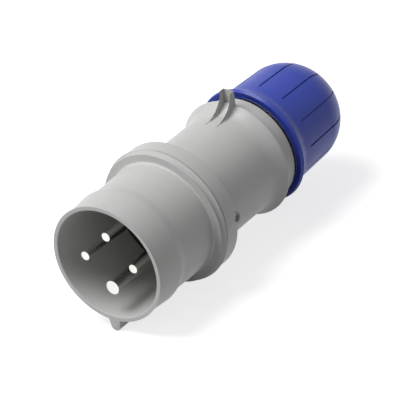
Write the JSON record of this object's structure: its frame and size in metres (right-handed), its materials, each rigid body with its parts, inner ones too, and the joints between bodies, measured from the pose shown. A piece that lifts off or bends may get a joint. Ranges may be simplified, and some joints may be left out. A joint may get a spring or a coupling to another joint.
{
  "type": "industrial pin and sleeve plug",
  "caption": "Straight industrial plug with a round shroud, guide key, round pins, locking hook on the handle and a domed screwed cable gland at the rear.",
  "frame": {"origin": "centre of the shroud's mouth, on the plug's axis", "axes": "+Y along the plug's axis from the mouth to the cable gland, +Z towards the locking hook, +X towards the housing lock screw"},
  "size_m": [0.0556, 0.1318, 0.0585],
  "materials": {
    "housing_grey": "fine satin moulding",
    "carrier_dark": "satin moulding",
    "pin_nickel": "nickel plated and polished",
    "screw_steel": "zinc plated",
    "seal_rubber": "matt",
    "collet_nylon": "natural moulding",
    "gland_blue": "satin moulding"
  },
  "bodies": {
    "housing": {"shroud_body": "housing_grey", "pin_carrier": "carrier_dark", "carrier_retainer": "carrier_dark", "retainer_screw": "screw_steel", "pin_l1": "pin_nickel", "pin_l2": "pin_nickel", "pin_l3": "pin_nickel", "pin_earth": "pin_nickel", "live_terminal_cages": "screw_steel", "earth_terminal_cage": "screw_steel", "live_terminal_screws": "screw_steel", "earth_terminal_screw": "screw_steel", "housing_gasket": "seal_rubber", "handle_body": "housing_grey", "housing_lock_screw": "screw_steel", "neck_ring": "seal_rubber", "gland_seal": "seal_rubber", "clamping_collet": "collet_nylon"},
    "gland_travel": {"thrust_ring": "collet_nylon"},
    "gland_nut": {"gland_nut": "gland_blue"}
  },
  "joints": [
    {"name": "gland_travel_slide", "type": "slide", "parent": "housing", "child": "gland_travel", "axis": [0, 1, 0], "range_m": [-0.0008, 0.0061]},
    {"name": "gland_nut_turn", "type": "hinge", "parent": "gland_travel", "child": "gland_nut", "pos_m": [0, 0.11, 0], "axis": [0, 1, 0], "range_deg": [-90, 720]}
  ],
  "couplings": [
    {"joint": "gland_travel_slide", "follows": "gland_nut_turn", "m_per_rad": 0.00047746}
  ]
}
